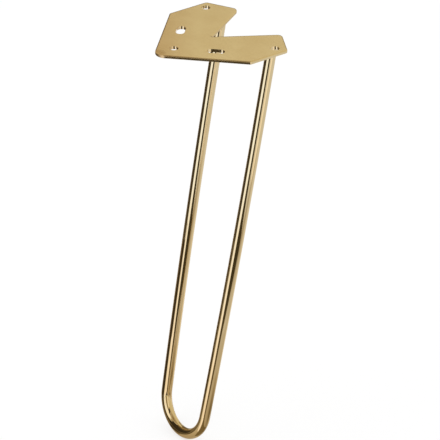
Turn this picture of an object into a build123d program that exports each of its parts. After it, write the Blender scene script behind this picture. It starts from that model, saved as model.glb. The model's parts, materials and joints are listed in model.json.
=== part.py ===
from build123d import *

import os
from math import atan2, cos, degrees, radians, sin, sqrt, tan

# Hairpin table leg: one round bar bent into a hairpin and welded under the two arms of a notched plate.
# X runs across the two rods, Y from the plate's corner towards its arms, and Z up.
# The origin is on the mounting face, midway between the two slots. All sizes are in millimetres and degrees.

# Whole leg
leg_height = 406.0          # from the mounting face down to the lowest point of the bend
splay_angle = 10.2          # lean of the hairpin, from upright, towards the plate's corner

# Plate outline
plate_thickness = 3.0
plate_width = 122.4         # across the two parallel sides
side_length = 40.8          # of each parallel side
tip_rise = 15.2             # from the end of a side to the arm's tip, along Y
tip_run = 28.5              # from a side in to the arm's tip, along X
notch_depth = 54.0          # from the arms' tips to the root of the V
corner_radius = 10.0        # where the plate's two long edges meet
side_radius = 2.0           # where a long edge meets a side
shoulder_radius = 4.0       # where a side meets an arm's end
tip_radius = 5.0
notch_radius = 1.0
edge_round = 1.2            # on the plate's upper edges
edge_break = 0.3            # chamfer on its lower edges

# Screw holes and slots
hole_diameter = 8.0
edge_to_hole_line = 15.7    # from a long edge to the line that holds the corner hole and the slot
slot_width = 8.0
slot_length = 16.0          # end to end
corner_to_slot = 53.2       # from the other long edge to the middle of the slot
end_hole_inset = 9.3        # from a side to the arm's screw hole
end_hole_drop = 7.3         # from the end of a side back to the arm's screw hole

# Bar
rod_diameter = 10.0
rod_inset = 23.3            # from a side of the plate to the axis of the rod under it
rod_setback = 14.6          # from an arm's tip back to the axis of the rod under it
bend_tuck = 7.6             # how much nearer to the middle the rods are where the bend starts
straight_end = 8.0          # length of rod under the plate before its long curve starts

# Weld beads
weld_leg = 3.0              # width on the plate and height on the rod
weld_bulge = 0.5            # how far the bead swells out from a straight fillet
weld_toe = 0.3              # thickness of the bead's lower lip

# Places that follow from these sizes
half_width = plate_width / 2
slot_x = (corner_to_slot - edge_to_hole_line) / sqrt(2)
origin_to_corner = (corner_to_slot + edge_to_hole_line) / sqrt(2)
side_start_y = half_width - origin_to_corner
shoulder_y = side_start_y + side_length
tip_x = half_width - tip_run
tip_y = shoulder_y + tip_rise
notch_y = tip_y - notch_depth
corner_hole_y = edge_to_hole_line * sqrt(2) - origin_to_corner
end_hole_x = half_width - end_hole_inset
end_hole_y = shoulder_y - end_hole_drop
rod_radius = rod_diameter / 2
rod_x = half_width - rod_inset
rod_y = tip_y - rod_setback
lean = radians(splay_angle)

# The hairpin lies in one leaning plane. Its local Y points up along the rods.
underside = Plane.XY.offset(-plate_thickness)
hairpin_plane = Plane(
    origin=(0, rod_y, -plate_thickness),
    x_dir=(1, 0, 0),
    z_dir=(0, -cos(lean), sin(lean)),
)
bend_radius = rod_x - bend_tuck
bend_drop = (leg_height - plate_thickness - rod_radius) / cos(lean) - bend_radius
curve_drop = bend_drop - straight_end
curve_radius = (rod_x**2 + curve_drop**2 - bend_radius**2) / (2 * bend_tuck)
curve_angle = degrees(atan2(curve_drop, curve_radius - rod_x))
trim_allowance = 2 * rod_radius * tan(lean)

os.makedirs("parts", exist_ok=True)

# Mounting plate, cut from flat stock
with BuildPart() as mounting_plate:
    with BuildSketch(underside):
        with BuildLine():
            FilletPolyline(
                (0, -origin_to_corner),
                (half_width, side_start_y),
                (half_width, shoulder_y),
                (tip_x, tip_y),
                (0, notch_y),
                (-tip_x, tip_y),
                (-half_width, shoulder_y),
                (-half_width, side_start_y),
                radius=[
                    corner_radius,
                    side_radius,
                    shoulder_radius,
                    tip_radius,
                    notch_radius,
                    tip_radius,
                    shoulder_radius,
                    side_radius,
                ],
                close=True,
            )
        make_face()
    extrude(amount=plate_thickness)
    upper_edges = mounting_plate.faces().sort_by(Axis.Z)[-1].edges()
    fillet(upper_edges, radius=edge_round)
    lower_edges = mounting_plate.faces().sort_by(Axis.Z)[0].edges()
    chamfer(lower_edges, length=edge_break)
    with Locations((0, corner_hole_y), (end_hole_x, end_hole_y), (-end_hole_x, end_hole_y)):
        Hole(radius=hole_diameter / 2)
    with BuildSketch(underside):
        with Locations((slot_x, 0)):
            SlotOverall(slot_length, slot_width, rotation=45)
        with Locations((-slot_x, 0)):
            SlotOverall(slot_length, slot_width, rotation=-45)
    extrude(amount=plate_thickness, mode=Mode.SUBTRACT)

mounting_plate.part.label = "mounting_plate"
export_step(mounting_plate.part, "parts/mounting_plate.step")

# Hairpin rod: both ends start past the plate's underside and are then trimmed flush with it
with BuildPart() as hairpin_rod:
    with BuildLine(hairpin_plane) as bar_axis:
        right_end = Line((rod_x, trim_allowance), (rod_x, -straight_end))
        right_side = JernArc(right_end @ 1, right_end % 1, curve_radius, -curve_angle)
        bend = JernArc(right_side @ 1, right_side % 1, bend_radius, 2 * curve_angle - 180)
        left_side = JernArc(bend @ 1, bend % 1, curve_radius, -curve_angle)
        Line(left_side @ 1, (-rod_x, trim_allowance))
    with BuildSketch(Plane(origin=bar_axis.line @ 0, z_dir=bar_axis.line % 0)):
        Circle(rod_radius)
    sweep(path=bar_axis.line)
    split(bisect_by=underside, keep=Keep.BOTTOM)

hairpin_rod.part.label = "hairpin_rod"
export_step(hairpin_rod.part, "parts/hairpin_rod.step")

# Weld beads: each is lofted through three level rings that follow the leaning rod, then fitted round it
for name, side in (("left_weld", -1), ("right_weld", 1)):
    rod_end = hairpin_plane.from_local_coords((side * rod_x, 0))
    bead_levels = (
        (0, weld_leg),
        (weld_leg / 2, weld_leg / 2 + weld_bulge),
        (weld_leg, weld_toe),
    )
    with BuildPart() as weld:
        for drop, reach in bead_levels:
            level = Plane(origin=rod_end - Vector(0, drop * tan(lean), drop))
            with BuildSketch(level):
                Ellipse(rod_radius + reach, rod_radius / cos(lean) + reach)
        loft(ruled=True)
        with BuildSketch(Plane(origin=rod_end, z_dir=hairpin_plane.y_dir)):
            Circle(rod_radius)
        extrude(amount=straight_end, both=True, mode=Mode.SUBTRACT)
    weld.part.label = name
    export_step(weld.part, f"parts/{name}.step")
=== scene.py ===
# %% [markdown]
# # A brass hairpin table leg
# The real leg is a steel plate and one round bar, bent like a hairpin, welded together and then plated in
# brass. The CAD model already has every size. Here each piece is modelled again at a finer grain, because
# polished metal shows each facet of a coarse mesh. Then it gets its finish, its light and the photograph's
# camera.

# %% Load the CAD model as the frame
import json
from math import atan2, cos, pi, radians, sin, sqrt, tan
from random import Random

import bpy
from mathutils import Matrix, Vector


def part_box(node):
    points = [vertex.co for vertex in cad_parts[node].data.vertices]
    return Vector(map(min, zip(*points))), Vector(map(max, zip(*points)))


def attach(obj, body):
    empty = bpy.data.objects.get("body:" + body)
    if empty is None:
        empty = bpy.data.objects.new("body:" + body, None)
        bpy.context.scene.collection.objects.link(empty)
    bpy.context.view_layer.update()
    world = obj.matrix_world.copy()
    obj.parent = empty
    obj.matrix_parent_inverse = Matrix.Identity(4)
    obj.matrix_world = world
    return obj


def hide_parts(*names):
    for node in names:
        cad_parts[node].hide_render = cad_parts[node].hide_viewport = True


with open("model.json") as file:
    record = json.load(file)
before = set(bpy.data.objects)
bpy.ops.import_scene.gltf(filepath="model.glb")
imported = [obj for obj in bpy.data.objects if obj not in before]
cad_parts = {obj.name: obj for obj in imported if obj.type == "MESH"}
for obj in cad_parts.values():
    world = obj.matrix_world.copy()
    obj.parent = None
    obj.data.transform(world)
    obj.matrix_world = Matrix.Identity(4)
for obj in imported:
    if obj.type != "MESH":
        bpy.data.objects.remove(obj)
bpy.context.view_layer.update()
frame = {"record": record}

MM = 0.001
mounts = {mount["name"]: mount for mount in frame["record"]["mounts"]}
print("mounts:", *mounts)

# %% [markdown]
# ## Working by hand in code
# Blender's operators act on what is selected, so each step first deselects everything. These small helpers
# keep that in one place: they start with a clean slate, open a piece in edit mode with chosen points or all
# of it selected, join pieces, and apply a modifier for good.

# %% Helpers for modelling
def clean_slate():
    if bpy.context.object and bpy.context.object.mode != "OBJECT":
        bpy.ops.object.mode_set(mode="OBJECT")
    bpy.ops.object.select_all(action="DESELECT")


def take(piece):
    clean_slate()
    piece.select_set(True)
    bpy.context.view_layer.objects.active = piece


def edit_points(piece, wanted):
    take(piece)
    bpy.ops.object.mode_set(mode="EDIT")
    bpy.ops.mesh.select_mode(type="VERT")
    bpy.ops.mesh.select_all(action="DESELECT")
    bpy.ops.object.mode_set(mode="OBJECT")
    for point in piece.data.vertices:
        point.select = wanted(point.co)
    bpy.ops.object.mode_set(mode="EDIT")


def edit_all(piece):
    take(piece)
    bpy.ops.object.mode_set(mode="EDIT")
    bpy.ops.mesh.select_all(action="SELECT")


def join(pieces):
    take(pieces[0])
    for piece in pieces:
        piece.select_set(True)
    bpy.ops.object.join()
    return pieces[0]


# %% Helpers for finishing a piece
def apply_modifier(piece, kind, **settings):
    take(piece)
    modifier = piece.modifiers.new(kind.title(), kind)
    for name, value in settings.items():
        setattr(modifier, name, value)
    bpy.ops.object.modifier_apply(modifier=modifier.name)


def cut_away(piece, cutter):
    apply_modifier(piece, "BOOLEAN", operation="DIFFERENCE", solver="EXACT", object=cutter)
    bpy.data.objects.remove(cutter)


def settle(piece, name):
    """Leave the finished piece at the origin, unturned and unscaled, with its place in its mesh."""
    take(piece)
    bpy.ops.object.transform_apply(location=True, rotation=True, scale=True)
    piece.name = piece.data.name = name
    print(name, "has", len(piece.data.polygons), "faces")
    return piece


# %% [markdown]
# ## The mounting plate
# The real plate is cut from flat stock: a square corner, two parallel sides and a deep V notch between two
# arms. It could be the CAD solid with a new colour, but a bright plate needs clean edges that catch light.
# So its outline is set out corner by corner, with a true arc at each, and the face is pulled down to its
# thickness. A vertex bevel would be quicker, but only a square corner becomes a round one that way.

# %% Plate sizes
plate_low, plate_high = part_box("mounting_plate")
thickness = plate_high.z - plate_low.z
half_width = plate_high.x
side_length = 40.8 * MM
tip_rise, tip_run = 15.2 * MM, 28.5 * MM
notch_depth = 54.0 * MM
corner_radius, side_radius, shoulder_radius = 10.0 * MM, 2.0 * MM, 4.0 * MM
tip_radius, notch_radius = 5.0 * MM, 1.0 * MM

corner_to_origin = corner_radius * (sqrt(2) - 1) - plate_low.y
side_y = half_width - corner_to_origin
shoulder_y = side_y + side_length
tip_x, tip_y = half_width - tip_run, shoulder_y + tip_rise
right_half = [
    ((half_width, side_y), side_radius),
    ((half_width, shoulder_y), shoulder_radius),
    ((tip_x, tip_y), tip_radius),
]
left_half = [((-x, y), radius) for (x, y), radius in reversed(right_half)]
corner = ((0.0, -corner_to_origin), corner_radius)
notch = ((0.0, tip_y - notch_depth), notch_radius)
plate_outline = [corner, *right_half, notch, *left_half]
print("plate has", len(plate_outline), "corners and is", round(thickness / MM, 2), "mm thick")

# %% Set out the plate's outline and pull it down to its thickness
ARC_STEPS = 12


def rounded(outline):
    """The points of an outline, with each of its corners turned into an arc of the radius given with it."""
    points = []
    for index, (place, radius) in enumerate(outline):
        here = Vector(place)
        to_before = (Vector(outline[index - 1][0]) - here).normalized()
        to_after = (Vector(outline[(index + 1) % len(outline)][0]) - here).normalized()
        half_angle = to_before.angle(to_after) / 2
        centre = here + (to_before + to_after).normalized() * radius / sin(half_angle)
        first = here + to_before * radius / tan(half_angle) - centre
        last = here + to_after * radius / tan(half_angle) - centre
        turn = -first.angle_signed(last)
        turns = [turn * step / ARC_STEPS for step in range(ARC_STEPS + 1)]
        points += [centre + Matrix.Rotation(angle, 2) @ first for angle in turns]
    return points


outline_points = rounded(plate_outline)
clean_slate()
bpy.ops.mesh.primitive_circle_add(vertices=len(outline_points), radius=half_width, fill_type="NGON")
plate = bpy.context.object
for point, place in zip(plate.data.vertices, outline_points):
    point.co = (*place, 0.0)

edit_all(plate)
bpy.ops.mesh.extrude_region_move(TRANSFORM_OT_translate={"value": (0, 0, -thickness)})
bpy.ops.mesh.select_all(action="SELECT")
bpy.ops.mesh.normals_make_consistent(inside=False)
clean_slate()
print("outline has", len(outline_points), "points")

# %% [markdown]
# ### The roll-over
# Cutting and polishing leave the upper face a little lower next to its edges, so in the photograph it fades
# softly there. A wide bevel could do that, but with one even curve. Instead, insets that rise less and less
# make a roll-over that flattens out towards the middle, as a polishing wheel leaves it. A last narrow inset
# keeps the shading of the large face flat.

# %% Roll the upper face over towards its edges
ROLL_RINGS = (0.0, 0.5, 0.7, 0.85, 1.0)
roll_width, roll_depth = 1.7 * MM, 0.28 * MM
flat_ring = 0.1 * MM

edit_points(plate, lambda point: point.z > -thickness / 2)
bpy.ops.transform.translate(value=(0, 0, -roll_depth))
for outer, inner in zip(ROLL_RINGS, ROLL_RINGS[1:]):
    rise = roll_depth * ((1 - outer) ** 2 - (1 - inner) ** 2)
    bpy.ops.mesh.inset(thickness=roll_width * (inner - outer), depth=rise)
bpy.ops.mesh.inset(thickness=flat_ring)
clean_slate()
print("plate top at", round(max(point.co.z for point in plate.data.vertices) / MM, 3), "mm")

# %% [markdown]
# ### The edges
# The upper edges are rounded, so that they catch a thin line of light, and the lower ones are only broken,
# as with a file. The bevel operator gives all edges one width. So a Bevel modifier does it, with a weight
# on each sharp edge that says how much of the width it gets.

# %% Round the upper edges and break the lower ones
EDGE_STEPS = 8
SHARP = radians(50)
edge_round, edge_break = 0.8 * MM, 0.3 * MM

edit_all(plate)
bpy.ops.mesh.select_mode(type="EDGE")
bpy.ops.mesh.select_all(action="DESELECT")
bpy.ops.mesh.edges_select_sharp(sharpness=SHARP)
clean_slate()
weights = plate.data.attributes.new("bevel_weight_edge", "FLOAT", "EDGE").data
for edge, weight in zip(plate.data.edges, weights):
    upper = plate.data.vertices[edge.vertices[0]].co.z > -thickness / 2
    if edge.select:
        weight.value = 1.0 if upper else edge_break / edge_round
apply_modifier(
    plate, "BEVEL", width=edge_round, segments=EDGE_STEPS, limit_method="WEIGHT", use_clamp_overlap=False
)
print("plate has", len(plate.data.polygons), "faces with its edges softened")

# %% [markdown]
# ### Holes and slots
# On the real plate they are punched. The faces could be cut open one by one, but a Boolean does what the
# punch does. The punches are cylinders at the places that the CAD model's mounts give, and the punch of a
# slot is a cylinder with its two halves drawn apart.

# %% Places of the holes and slots
arm_holes = mounts["arm_screw_holes"]
hole_radius = arm_holes["dims"]["hole_r_mm"] * MM
arm_hole_x = arm_holes["dims"]["spacing_x_mm"] / 2 * MM
slot_half_travel = 4.0 * MM
hole_places = [
    Vector(mounts["corner_screw_hole"]["pos_m"]),
    Vector((arm_hole_x, *arm_holes["pos_m"][1:])),
    Vector((-arm_hole_x, *arm_holes["pos_m"][1:])),
]
slot_places = [
    (Vector(mounts["right_slot"]["pos_m"]), radians(45)),
    (Vector(mounts["left_slot"]["pos_m"]), radians(-45)),
]
print("holes are", round(2 * hole_radius / MM, 2), "mm wide")

# %% Punch them through the plate
HOLE_SIDES = 96
HAIR = 0.001 * MM
punch_depth = 3 * thickness


def add_punch(place, turn=0.0):
    clean_slate()
    bpy.ops.mesh.primitive_cylinder_add(
        vertices=HOLE_SIDES, radius=hole_radius, depth=punch_depth, location=place, rotation=(0, 0, turn)
    )
    return bpy.context.object


def add_slot_punch(place, turn):
    """A round punch whose two halves are drawn apart into a slot."""
    punch = add_punch(place, turn)
    for side in (-1, 1):
        edit_points(punch, lambda point: point.x * side > HAIR)
        bpy.ops.transform.translate(value=Vector((cos(turn), sin(turn), 0)) * side * slot_half_travel)
    clean_slate()
    return punch


punches = [add_punch(place) for place in hole_places]
punches += [add_slot_punch(place, turn) for place, turn in slot_places]
cut_away(plate, join(punches))
print("punched", len(hole_places), "holes and", len(slot_places), "slots")

# %% [markdown]
# ### The rims
# A punched rim is never quite sharp. A very small bevel on the edges that are still sharp gives each rim a
# fine bright line, and weighted normals keep the shading of the flat faces flat.

# %% Break the rims of the holes and shade the plate
RIM_STEPS = 3
rim_break = 0.08 * MM
apply_modifier(plate, "BEVEL", width=rim_break, segments=RIM_STEPS, limit_method="ANGLE", angle_limit=SHARP)
bpy.ops.object.shade_smooth()
apply_modifier(plate, "WEIGHTED_NORMAL", weight=100)
brass_plate = settle(plate, "brass_plate")

# %% [markdown]
# ## The hairpin
# The real bar is straight stock bent once round a former, so its sides keep a slight bow. It could be a
# curve with a round bevel, but the spin operator makes the very arcs of the bend: a ring is pulled along
# the rod's straight end, spun a little about a far centre for the bowed side, round the former for the
# bend, and back up the same way. It starts and ends inside the plate, and a bisect trims both ends flush.

# %% Hairpin sizes
rod_radius = 5.0 * MM
rod_inset, rod_setback = 23.3 * MM, 14.6 * MM
bend_tuck = 7.6 * MM
straight_end = 8.0 * MM
lean = radians(10.2)

rod_x, rod_y = half_width - rod_inset, tip_y - rod_setback
bend_radius = rod_x - bend_tuck
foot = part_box("hairpin_rod")[0].z
underside = plate_low.z
up = Vector((0, sin(lean), cos(lean)))
across = Vector((1, 0, 0))
facing = across.cross(up)
middle = Vector((0, rod_y, underside))
rod_turn = up.to_track_quat("Z", "X").to_euler()
bend_drop = (underside - foot - rod_radius) / cos(lean) - bend_radius
bow_drop = bend_drop - straight_end
bow_radius = (rod_x**2 + bow_drop**2 - bend_radius**2) / (2 * (rod_x - bend_radius))
bow_angle = atan2(bow_drop, bow_radius - rod_x)
overlap = 2 * rod_radius * tan(lean)
print("bend radius", round(bend_radius / MM, 1), "mm, bow radius", round(bow_radius, 2), "m")


def on_hairpin(x, drop):
    return middle + across * x - up * drop


# %% Draw the bar through its bends
BAR_SIDES = 64
BOW_STEPS, BEND_STEPS = 40, 72

clean_slate()
bpy.ops.mesh.primitive_circle_add(
    vertices=BAR_SIDES, radius=rod_radius, location=on_hairpin(rod_x, -overlap), rotation=rod_turn
)
bar = bpy.context.object
bpy.ops.object.transform_apply(location=True, rotation=True, scale=True)
edit_all(bar)
bpy.ops.mesh.extrude_region_move(TRANSFORM_OT_translate={"value": -up * (straight_end + overlap)})
bends = [
    (on_hairpin(rod_x - bow_radius, straight_end), bow_angle, BOW_STEPS),
    (on_hairpin(0, bend_drop), pi - 2 * bow_angle, BEND_STEPS),
    (on_hairpin(bow_radius - rod_x, straight_end), bow_angle, BOW_STEPS),
]
for centre, angle, steps in bends:
    bpy.ops.mesh.spin(steps=steps, angle=angle, center=centre, axis=facing)
bpy.ops.mesh.extrude_region_move(TRANSFORM_OT_translate={"value": up * (straight_end + overlap)})
bpy.ops.mesh.select_all(action="SELECT")
bpy.ops.mesh.remove_doubles(threshold=HAIR)

# %% Trim the bar flush with the plate's underside
BAR_SHARP = radians(40)
bpy.ops.mesh.bisect(plane_co=middle, plane_no=(0, 0, 1), clear_outer=True, use_fill=True)
bpy.ops.mesh.select_all(action="SELECT")
bpy.ops.mesh.normals_make_consistent(inside=False)
take(bar)
bpy.ops.object.shade_smooth_by_angle(angle=BAR_SHARP)
hairpin = settle(bar, "brass_hairpin")
print("hairpin reaches down to", round(min(point.co.z for point in hairpin.data.vertices) / MM, 2), "mm")

# %% [markdown]
# ## The weld beads
# Each rod end is joined to the plate by a bead that the welder lays as a row of overlapping puddles. A
# plain ring would look machined. So one puddle is modelled as a squashed ball and repeated round the rod
# with small differences. A voxel remesh fuses the puddles, and two Booleans fit the bead to the rod and
# the plate.

# %% Lay one puddle
PUDDLE_SWELL = (0.92, 1.06)
PUDDLE_DROP = (0.28, 0.36)
PUDDLE_SQUASH = (0.85, 0.85, 1.0)
weld_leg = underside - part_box("left_weld")[0].z
puddle_ring = rod_radius + 0.30 * weld_leg
puddle_radius = 0.62 * weld_leg
print("the bead is", round(weld_leg / MM, 2), "mm high")


def add_puddle(rod_end, turn, draw):
    swell = draw.uniform(*PUDDLE_SWELL)
    drop = draw.uniform(*PUDDLE_DROP) * weld_leg
    place = rod_end - up * drop + Matrix.Rotation(turn, 3, up) @ across * puddle_ring
    clean_slate()
    bpy.ops.mesh.primitive_uv_sphere_add(
        segments=20, ring_count=12, radius=puddle_radius * swell, location=place
    )
    puddle = bpy.context.object
    edit_all(puddle)
    bpy.ops.transform.resize(value=PUDDLE_SQUASH)
    clean_slate()
    return puddle


# %% Fuse the puddles into beads and fit them
PUDDLES = 26
bead_grain = 0.16 * MM
cutter_size = 8 * weld_leg


def fuse(puddles):
    bead = join(puddles)
    bpy.ops.object.transform_apply(location=True, rotation=True, scale=True)
    apply_modifier(bead, "REMESH", mode="VOXEL", voxel_size=bead_grain)
    apply_modifier(bead, "SMOOTH", factor=0.5, iterations=3)
    return bead


def fit_bead(bead, rod_end):
    """Take away what lies inside the rod, and then what lies above the plate's underside."""
    clean_slate()
    bpy.ops.mesh.primitive_cylinder_add(
        vertices=BAR_SIDES, radius=rod_radius, depth=cutter_size, location=rod_end, rotation=rod_turn
    )
    cut_away(bead, bpy.context.object)
    clean_slate()
    bpy.ops.mesh.primitive_cube_add(size=cutter_size, location=rod_end + Vector((0, 0, cutter_size / 2)))
    cut_away(bead, bpy.context.object)


def add_weld(name, side, seed):
    draw = Random(seed)
    rod_end = on_hairpin(side * rod_x, 0)
    bead = fuse([add_puddle(rod_end, 2 * pi * step / PUDDLES, draw) for step in range(PUDDLES)])
    fit_bead(bead, rod_end)
    take(bead)
    bpy.ops.object.shade_smooth_by_angle(angle=SHARP)
    return settle(bead, name)


left_weld = add_weld("weld_bead_left", -1, seed=3)
right_weld = add_weld("weld_bead_right", 1, seed=8)

# %% [markdown]
# ## The brass finish
# Brass plating is a bright metal with small faults: faint clouds of tarnish, a soft haze that varies, and
# fine lines from polishing. A picture of brass could be wrapped round the pieces, but its seams would show.
# So all of it is noise on Object coordinates, and nothing slides when the camera moves. One function makes
# the finish, and each piece sets how hazy it is and which way its polishing lines run.

# %% Plated brass
BRASS = (0.82, 0.63, 0.33, 1.0)
BRASS_DEEP = (0.77, 0.575, 0.285, 1.0)
LINE_REACH = 0.05 * MM


def add_node(material, kind, **inputs):
    node = material.node_tree.nodes.new(kind)
    for name, value in inputs.items():
        node.inputs[name.replace("_", " ")].default_value = value
    return node


def brass_finish(name, haze, lines, line_turn, line_depth):
    """Plated brass; lines says how much the noise is stretched along X, Y and Z to make polishing lines."""
    material = bpy.data.materials.new(name)
    material.use_nodes = True
    link = material.node_tree.links.new
    shader = material.node_tree.nodes["Principled BSDF"]
    shader.inputs["Metallic"].default_value = 1.0
    place = add_node(material, "ShaderNodeTexCoord").outputs["Object"]

    clouds = add_node(material, "ShaderNodeTexNoise", Scale=38.0, Detail=3.0, Roughness=0.55)
    link(place, clouds.inputs["Vector"])
    tint = add_node(material, "ShaderNodeValToRGB")
    deep, bright = tint.color_ramp.elements
    deep.position, deep.color = 0.30, BRASS_DEEP
    bright.position, bright.color = 0.62, BRASS
    link(clouds.outputs["Fac"], tint.inputs["Fac"])
    link(tint.outputs["Color"], shader.inputs["Base Color"])

    turned = add_node(material, "ShaderNodeMapping", Rotation=line_turn, Scale=lines)
    link(place, turned.inputs["Vector"])
    polish = add_node(material, "ShaderNodeTexNoise", Scale=900.0, Detail=2.0, Roughness=0.6)
    link(turned.outputs["Vector"], polish.inputs["Vector"])
    soften = add_node(material, "ShaderNodeMapRange", To_Min=haze[0], To_Max=haze[1])
    link(polish.outputs["Fac"], soften.inputs["Value"])
    link(soften.outputs["Result"], shader.inputs["Roughness"])

    bump = add_node(material, "ShaderNodeBump", Strength=line_depth, Distance=LINE_REACH)
    link(polish.outputs["Fac"], bump.inputs["Height"])
    link(bump.outputs["Normal"], shader.inputs["Normal"])
    print("finish:", name)
    return material


# %% Finishes of the plate, the bar and the welds
plate_brass = brass_finish(
    "satin_brass_plate",
    haze=(0.10, 0.22),
    lines=(0.05, 1.0, 1.0),
    line_turn=(0, 0, radians(45)),
    line_depth=0.10,
)
bar_brass = brass_finish(
    "bright_brass_bar", haze=(0.03, 0.08), lines=(1.0, 1.0, 0.04), line_turn=(-lean, 0, 0), line_depth=0.06
)
weld_brass = brass_finish(
    "brass_over_weld", haze=(0.16, 0.34), lines=(1.0, 1.0, 1.0), line_turn=(0, 0, 0), line_depth=0.30
)

# %% [markdown]
# ### Painted reflection and wear on the plate
# The plate looks warmer and darker towards its left side, a reflection of warmer surroundings that is
# painted into its colour, and its front corner, where it is handled, is duller. Both could be painted by
# hand, but they are so soft that a ramp on Object coordinates is enough: one ramp tints the plating with
# the painted reflection, and one makes it rougher. Each is mixed in between the noise and the shader.

# %% Helpers for wear
def socket(sockets, identifier):
    """A node may have several sockets of one name, so they are told apart by their identifiers."""
    return next(item for item in sockets if item.identifier == identifier)


def soft_share(material, operation, vector, near, far):
    """How much of a change each place gets: all where the measured value is near, none where it is far."""
    link = material.node_tree.links.new
    measure = add_node(material, "ShaderNodeVectorMath")
    measure.operation = operation
    place = add_node(material, "ShaderNodeTexCoord").outputs["Object"]
    link(place, socket(measure.inputs, "Vector"))
    socket(measure.inputs, "Vector_001").default_value = vector
    share = add_node(material, "ShaderNodeMapRange", From_Min=near, From_Max=far, To_Min=1.0, To_Max=0.0)
    link(measure.outputs["Value"], share.inputs["Value"])
    return share.outputs["Result"]


def mix_in(material, kind, target, share, value, blend="MIX"):
    """Mix a value into what already reaches one of the shader's sockets."""
    link = material.node_tree.links.new
    mixed = material.node_tree.nodes["Principled BSDF"].inputs[target]
    before = mixed.links[0].from_socket
    mix = material.node_tree.nodes.new("ShaderNodeMix")
    mix.data_type, mix.blend_type = kind, blend
    suffix = {"RGBA": "Color", "FLOAT": "Float"}[kind]
    link(share, socket(mix.inputs, "Factor_Float"))
    link(before, socket(mix.inputs, "A_" + suffix))
    socket(mix.inputs, "B_" + suffix).default_value = value
    link(socket(mix.outputs, "Result_" + suffix), mixed)


# %% Paint a warm reflection on the plate's left side and dull its corner
# painted reflection: the plate's left side is tinted darker and warmer, as if it mirrored warmer
# surroundings
PAINTED_WARM_REFLECTION = (0.86, 0.77, 0.69, 1.0)
warm_from, warm_to = Vector((-21, -29, 0)) * MM, Vector((0, 0, 0))
warm_way = (warm_to - warm_from).normalized()
warm_start, warm_end = warm_from.dot(warm_way), warm_to.dot(warm_way)
painted_reflection_share = soft_share(plate_brass, "DOT_PRODUCT", warm_way, warm_start, warm_end)
mix_in(plate_brass, "RGBA", "Base Color", painted_reflection_share, PAINTED_WARM_REFLECTION, blend="MULTIPLY")

RUBBED_ROUGHNESS = 0.45
rubbed_corner = Vector((0, plate_low.y, -thickness / 2))
rubbed_reach = 9 * MM
rubbed_share = soft_share(plate_brass, "DISTANCE", rubbed_corner, rubbed_reach / 2, rubbed_reach)
mix_in(plate_brass, "FLOAT", "Roughness", rubbed_share, RUBBED_ROUGHNESS)
print("plate finish has", len(plate_brass.node_tree.nodes), "nodes")

# %% [markdown]
# ## Dressing the frame
# Each new piece takes the place of a CAD node. It could simply lie over it, but then both would show where
# they touch. So it rides on the root body, gets its finish, and the node that it replaces is hidden.

# %% Give each piece its finish and its place in the frame
dressed = [
    (brass_plate, "mounting_plate", plate_brass, "plate_finish"),
    (hairpin, "hairpin_rod", bar_brass, "rod_finish"),
    (left_weld, "left_weld", weld_brass, "weld_finish"),
    (right_weld, "right_weld", weld_brass, "weld_finish"),
]
for piece, node, material, slot in dressed:
    piece.data.materials.clear()
    piece.data.materials.append(material)
    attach(piece, "root")
    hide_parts(node)
    print(piece.name, "replaces", node)

# %% [markdown]
# ## The camera
# The photograph was taken with a long lens from above, so the leg's edges stay nearly parallel. The camera
# could be moved by eye until the picture fits. Here it is set by its direction and distance and by where
# the plate's corner lies in the picture, so that each of them can be corrected alone.

# %% Set the camera
PICTURE = 440.0
SENSOR = 36.0
camera_azimuth, camera_elevation, camera_roll = radians(53.59), radians(28.70), radians(-0.445)
camera_distance = 3.077
focal_pixels = 3499.3
corner_pixel = Vector((153.35, 54.55))

level_right = Vector((cos(camera_azimuth), sin(camera_azimuth), 0))
toward_camera = Vector((sin(camera_azimuth), -cos(camera_azimuth), 0))
back = toward_camera * cos(camera_elevation) + Vector((0, 0, sin(camera_elevation)))
level_down = level_right.cross(back)
picture_right = level_right * cos(camera_roll) + level_down * sin(camera_roll)
picture_down = level_down * cos(camera_roll) - level_right * sin(camera_roll)
metres_per_pixel = camera_distance / focal_pixels
to_centre = (Vector((PICTURE / 2, PICTURE / 2)) - corner_pixel) * metres_per_pixel
aim = Vector((0, -corner_to_origin, 0)) + picture_right * to_centre.x + picture_down * to_centre.y

camera = bpy.data.objects.new("camera", bpy.data.cameras.new("camera"))
bpy.context.scene.collection.objects.link(camera)
camera.data.sensor_width = SENSOR
camera.data.lens = focal_pixels * SENSOR / PICTURE
camera.data.clip_end = 50.0
axes = Matrix((picture_right, -picture_down, back)).transposed().to_4x4()
camera.matrix_world = Matrix.Translation(aim + back * camera_distance) @ axes
bpy.context.scene.camera = camera
print("camera at", [round(v, 3) for v in camera.location], "lens", round(camera.data.lens, 1))

# %% [markdown]
# ## The studio
# Polished metal shows what stands around it, so the room is half of the finish. The leg stands on white
# paper that keeps a faint shadow. The paper could be a plain white plane, but then it would hide the leg
# from below. So it is clear from that side, where the plate's underside and the welds can be seen.

# %% White world
WHITE = (1, 1, 1, 1)
world = bpy.data.worlds.new("white_studio")
bpy.context.scene.world = world
world.use_nodes = True
world.node_tree.nodes["Background"].inputs["Color"].default_value = WHITE
world.node_tree.nodes["Background"].inputs["Strength"].default_value = 1.0
print("world:", world.name)

# %% Pale floor
FLOOR_SIZE = 12.0
FLOOR_WHITE = 0.7
PAPER = (0.96, 0.96, 0.96, 1)
floor_z = foot


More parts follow.
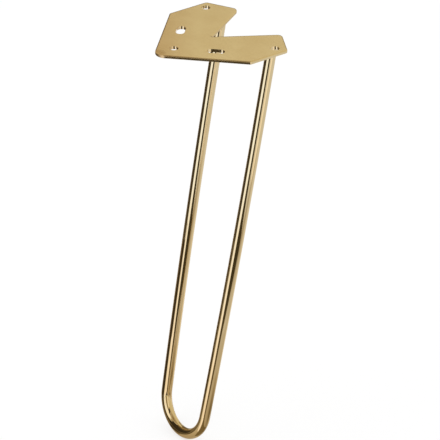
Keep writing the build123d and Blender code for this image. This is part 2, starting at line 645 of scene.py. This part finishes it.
def pale_floor():
    """White paper with a faint shadow, which the camera sees whiter than it is, and clear from below."""
    material = bpy.data.materials.new("pale_floor")
    material.use_nodes = True
    link = material.node_tree.links.new
    paper = material.node_tree.nodes["Principled BSDF"]
    paper.inputs["Base Color"].default_value = PAPER
    paper.inputs["Roughness"].default_value = 1.0
    paper.inputs["Specular IOR Level"].default_value = 0.0
    white = add_node(material, "ShaderNodeEmission", Color=WHITE, Strength=1.0)
    share = add_node(material, "ShaderNodeMapRange", To_Max=FLOOR_WHITE)
    link(add_node(material, "ShaderNodeLightPath").outputs["Is Camera Ray"], share.inputs["Value"])
    lit = add_node(material, "ShaderNodeMixShader")
    link(share.outputs["Result"], lit.inputs["Fac"])
    link(paper.outputs["BSDF"], socket(lit.inputs, "Shader"))
    link(white.outputs["Emission"], socket(lit.inputs, "Shader_001"))
    clear = add_node(material, "ShaderNodeBsdfTransparent")
    sides = add_node(material, "ShaderNodeMixShader")
    link(add_node(material, "ShaderNodeNewGeometry").outputs["Backfacing"], sides.inputs["Fac"])
    link(lit.outputs["Shader"], socket(sides.inputs, "Shader"))
    link(clear.outputs["BSDF"], socket(sides.inputs, "Shader_001"))
    link(sides.outputs["Shader"], material.node_tree.nodes["Material Output"].inputs["Surface"])
    return material


clean_slate()
bpy.ops.mesh.primitive_plane_add(size=FLOOR_SIZE, location=(0, 0, floor_z))
floor = bpy.context.object
floor.name = "studio_floor"
floor.data.materials.append(pale_floor())
floor.visible_glossy = False
print("floor at", round(floor_z / MM, 1), "mm")

# %% [markdown]
# ### Cards in the room
# In an even white room the leg would be one pale tone. A picture of a studio could light it, but the tones
# could not be moved one by one. So cards stand and lie round it, as a photographer would place them. They
# show only in reflections and throw no shadow. A card has one tone, or a second one that it fades to with
# the distance from its own origin. The tone is painted light: the card glows with it instead of being lit.

# %% Helpers for the cards
cards = []


# a card's tone is an emission: painted light that stands in for the light falling on the card
def plain_card(name, tone):
    material = bpy.data.materials.new(name)
    material.use_nodes = True
    nodes = material.node_tree.nodes
    nodes.remove(nodes["Principled BSDF"])
    light = add_node(material, "ShaderNodeEmission", Color=(*tone, 1), Strength=1.0)
    material.node_tree.links.new(light.outputs["Emission"], nodes["Material Output"].inputs["Surface"])
    return material


def fading_card(name, near_tone, far_tone, reach):
    """A card whose tone changes from near_tone at its own origin to far_tone at reach."""
    material = plain_card(name, near_tone)
    link = material.node_tree.links.new
    distance = add_node(material, "ShaderNodeVectorMath")
    distance.operation = "LENGTH"
    place = add_node(material, "ShaderNodeTexCoord").outputs["Object"]
    link(place, socket(distance.inputs, "Vector"))
    span = add_node(material, "ShaderNodeMapRange", From_Max=reach)
    link(distance.outputs["Value"], span.inputs["Value"])
    tone = add_node(material, "ShaderNodeValToRGB")
    near, far = tone.color_ramp.elements
    near.color, far.color = (*near_tone, 1), (*far_tone, 1)
    link(span.outputs["Result"], tone.inputs["Fac"])
    link(tone.outputs["Color"], material.node_tree.nodes["Emission"].inputs["Color"])
    return material


def reflected_only(card, material):
    card.name = material.name
    card.data.materials.append(material)
    card.visible_camera = False
    card.visible_diffuse = False
    card.visible_shadow = False
    card.visible_transmission = False
    cards.append(card)


# %% [markdown]
# ### Cards on the floor
# The upright rods look down at the floor. There, black cards draw the dark lines along them, and light
# strips the bright ones. One printed sheet could hold them all, but separate cards can be moved alone. They
# lie a hair below the paper, which reflections leave out, so that the bend never cuts them. A card with a
# lower layer number lies further up. The origin of each is the foot of the leg.

# %% Lay the cards in front of the foot
CARD_GAP = 0.2 * MM
WIDE = 2200
foot_y = mounts["floor_contact"]["pos_m"][1]


def from_foot(right, near_side):
    """So many millimetres to the picture's right of the foot, and so many towards the camera."""
    return (level_right * right + toward_camera * near_side) * MM


def on_layer(layer):
    return Vector((0, foot_y, floor_z - layer * CARD_GAP))


def floor_card(material, layer, corners):
    clean_slate()
    bpy.ops.mesh.primitive_circle_add(vertices=len(corners), fill_type="NGON")
    card = bpy.context.object
    for point, place in zip(card.data.vertices, corners):
        point.co = from_foot(*place)
    card.location = on_layer(layer)
    reflected_only(card, material)


floor_card(
    fading_card("black_card_front", (0.22, 0.17, 0.09), (0.06, 0.05, 0.03), reach=0.45),
    layer=1,
    corners=[
        (8, 22), (-7, 62), (-38, 130), (-106, 300), (-250, 545), (-950, WIDE), (110, WIDE), (120, 900),
        (240, 610), (330, 420), (330, 330), (85, 310), (10, 120), (26, 56), (44, 16),
    ],
)
floor_card(
    fading_card("light_strip_left", (1.15, 1.09, 1.18), (1.18, 1.36, 1.82), reach=1.3),
    layer=2,
    corners=[(-30, 42), (-110, 86), (-WIDE, 1030), (-980, WIDE), (6, 70), (4, 34)],
)
floor_card(
    plain_card("light_strip_right", (1.1, 1.1, 1.2)),
    layer=2,
    corners=[(330, 760), (1030, WIDE), (WIDE, 2000), (620, 480), (480, 420)],
)
print(len(cards), "cards in front of the foot")

# %% Lay the cards to its left and behind it
floor_card(
    fading_card("black_flag_left", (0.22, 0.18, 0.12), (0.06, 0.05, 0.038), reach=0.9),
    layer=3,
    corners=[(-6, 3), (-WIDE, 1000), (-WIDE, -WIDE), (-1270, -WIDE)],
)
floor_card(
    plain_card("black_card_foot", (0.04, 0.03, 0.015)),
    layer=2.5,
    corners=[(-16, 2), (-52, 8), (-52, -12), (-16, -12)],
)
floor_card(
    fading_card("black_card_behind", (0.32, 0.25, 0.14), (0.06, 0.05, 0.03), reach=0.33),
    layer=2,
    corners=[(3, -40), (300, -WIDE), (-700, -WIDE), (-12, -40)],
)
floor_card(
    fading_card("light_strip_behind", (1.02, 0.97, 1.08), (1.10, 1.20, 1.40), reach=1.3),
    layer=2,
    corners=[(8, -40), (1500, -WIDE), (500, -WIDE)],
)
floor_card(
    plain_card("grey_card_behind", (0.64, 0.60, 0.52)),
    layer=3,
    corners=[(0, -500), (600, -500), (WIDE, -1850), (WIDE, -WIDE), (0, -WIDE)],
)
print(len(cards), "cards with those to its left and behind it")

# %% Lay the cards to its right
floor_card(
    fading_card("grey_card_right", (0.47, 0.40, 0.31), (0.75, 0.79, 0.89), reach=0.5),
    layer=4,
    corners=[(0, 0), (0, WIDE), (WIDE, WIDE), (WIDE, -WIDE), (0, -WIDE)],
)
floor_card(
    fading_card("light_card_right_behind", (0.98, 0.93, 0.86), (0.76, 0.79, 0.87), reach=0.6),
    layer=3.5,
    corners=[(30, -40), (WIDE, -260), (WIDE, -WIDE), (1500, -WIDE)],
)
print(len(cards), "cards with those to its right")

# %% [markdown]
# ### Soft pools of painted shadow and light
# The lower rods and the bend also see dim and light places on the floor that have no edge: a painted shadow
# right of the foot, a painted pool of light near it, and a dimmer place in front. A card with a blurred
# edge would need a mask. An oval that fades from its middle into the tone of the card below it does the
# same.
# Last, one wide card closes the floor under all the others; it darkens towards the foot as painted shade.

# %% Lay the pools of painted shadow and light, and a base under all cards
CURVE_STEPS = 48
BASE = 3000


def soft_pool(material, layer, centre, size, turn=0.0):
    """An oval with a radius of 1 in its own coordinates, stretched to its size in millimetres."""
    clean_slate()
    bpy.ops.mesh.primitive_circle_add(vertices=CURVE_STEPS, radius=1, fill_type="NGON")
    pool = bpy.context.object
    pool.location = from_foot(*centre) + on_layer(layer)
    pool.scale = (size[0] * MM, size[1] * MM, 1)
    pool.rotation_euler.z = camera_azimuth + turn
    reflected_only(pool, material)


# painted shadow: a soft dark brown pool right of the foot
soft_pool(
    fading_card("painted_shadow_pool_right", (0.15, 0.12, 0.07), (0.54, 0.48, 0.40), reach=1.0),
    layer=1.5,
    centre=(78, 32),
    size=(92, 54),
    turn=radians(-50),
)
# painted pool of light near the foot
soft_pool(
    fading_card("light_pool_right", (0.86, 0.80, 0.70), (0.34, 0.29, 0.22), reach=1.0),
    layer=0.5,
    centre=(56, 4),
    size=(30, 20),
)
soft_pool(
    fading_card("grey_pool_front", (0.42, 0.38, 0.33), (0.70, 0.70, 0.75), reach=1.0),
    layer=2.6,
    centre=(380, 310),
    size=(230, 230),
)
# painted shade: the base darkens towards the foot
floor_card(
    fading_card("white_base_painted_shade", (0.45, 0.37, 0.27), (0.95, 0.95, 0.95), reach=0.15),
    layer=5,
    corners=[(-BASE, BASE), (BASE, BASE), (BASE, -BASE), (-BASE, -BASE)],
)
print(len(cards), "cards with the pools and the base")

# %% [markdown]
# ### Standing cards
# The plate looks up at a warm grey wall behind the leg, and the rods' light and dark sides are panels that
# stand round it. Flat boards would do for one view, but curved ones keep their distance all round. So two
# points are spun about the leg. Three low flags stand so close to the foot that only the bend and the
# lowest part of the rods show them.

# %% Helper for a standing card
WALL_DISTANCE = 2.4
PANEL_DISTANCE = WALL_DISTANCE - 0.1


def standing_card(name, tone, around, height, distance=PANEL_DISTANCE):
    """A curved card, in degrees seen from the plate: around starts at the camera, height at the horizon."""
    clean_slate()
    bpy.ops.mesh.primitive_plane_add(size=1)
    card = bpy.context.object
    edit_points(card, lambda point: point.y > 0)
    bpy.ops.mesh.delete(type="VERT")
    clean_slate()
    start, end = around
    heading = camera_azimuth + radians(start)
    for point, elevation in zip(card.data.vertices, height):
        point.co = Vector((sin(heading), -cos(heading), tan(radians(elevation)))) * distance
    edit_all(card)
    bpy.ops.mesh.spin(steps=CURVE_STEPS, angle=radians(end - start), center=(0, 0, 0), axis=(0, 0, -1))
    clean_slate()
    reflected_only(card, plain_card(name, tone))


# %% Stand the cards round the leg
FOOT_FLAG_DISTANCE = 0.10
OVERHEAD_DISTANCE = 1.5
WALL_TOP = 52

standing_card("warm_grey_wall", (0.74, 0.71, 0.58), (-180, 180), (-10, WALL_TOP), WALL_DISTANCE)
standing_card("dark_skirt_behind", (0.20, 0.16, 0.11), (172, 188), (-12, 21))
standing_card("dark_panel_behind", (0.20, 0.16, 0.11), (188, 205), (-12, 27))
standing_card("grey_panel_behind", (0.42, 0.39, 0.31), (156, 172), (-12, 27))
standing_card("light_panel_left", (1.15, 1.20, 1.40), (-68, -22), (-8, 50))
standing_card("black_flag_standing", (0.06, 0.05, 0.04), (-124, -72), (-10, 14))
standing_card("black_flag_near", (0.045, 0.035, 0.025), (-120, -77), (-76, -67.5), FOOT_FLAG_DISTANCE)
standing_card("brown_flag_near", (0.17, 0.13, 0.08), (-142, -120), (-76, -67.5), FOOT_FLAG_DISTANCE)
standing_card("grey_flag_near", (0.44, 0.38, 0.29), (-77, -69), (-73.5, -66), FOOT_FLAG_DISTANCE)
standing_card("brown_card_front", (0.32, 0.26, 0.18), (-22, 4), (-8, 44))
standing_card("light_panel_right", (1.1, 1.1, 1.15), (18, 54), (-8, 34))
standing_card("black_flag_above", (0.05, 0.045, 0.04), (-33, 34), (38, 57), OVERHEAD_DISTANCE)
print(len(cards), "cards with those that stand")

# %% [markdown]
# ### Ceiling and lamp
# A ceiling closes the room above the wall, for the rounded edges and the bend, and is darker in its middle.
# One large soft lamp gives the paper its faint shadow. It could also be a lamp that shows in the metal, but
# its round image would be a spot that the photograph does not have. So reflections leave it out.

# %% Close the room and light it
LAMP_SIZE, LAMP_POWER = 1.6, 8.0
LAMP_PLACE = (-0.6, -0.9, 2.2)
ceiling_radius = 1.2 * WALL_DISTANCE

clean_slate()
bpy.ops.mesh.primitive_circle_add(vertices=CURVE_STEPS, radius=ceiling_radius, fill_type="NGON")
ceiling = bpy.context.object
ceiling.location.z = WALL_DISTANCE * tan(radians(WALL_TOP))
reflected_only(
    ceiling, fading_card("warm_grey_ceiling", (0.25, 0.19, 0.11), (0.62, 0.57, 0.47), reach=2.0)
)

lamp_data = bpy.data.lights.new("soft_lamp", "AREA")
lamp_data.shape = "DISK"
lamp_data.size = LAMP_SIZE
lamp_data.energy = LAMP_POWER
lamp = bpy.data.objects.new("soft_lamp", lamp_data)
bpy.context.scene.collection.objects.link(lamp)
lamp.location = LAMP_PLACE
lamp.rotation_mode = "QUATERNION"
lamp.rotation_quaternion = (-lamp.location).to_track_quat("-Z", "Y")
lamp.visible_camera = False
lamp.visible_glossy = False
bpy.context.scene.view_settings.view_transform = "Standard"
print("ceiling at", round(ceiling.location.z, 2), "m, lamp at", LAMP_PLACE)
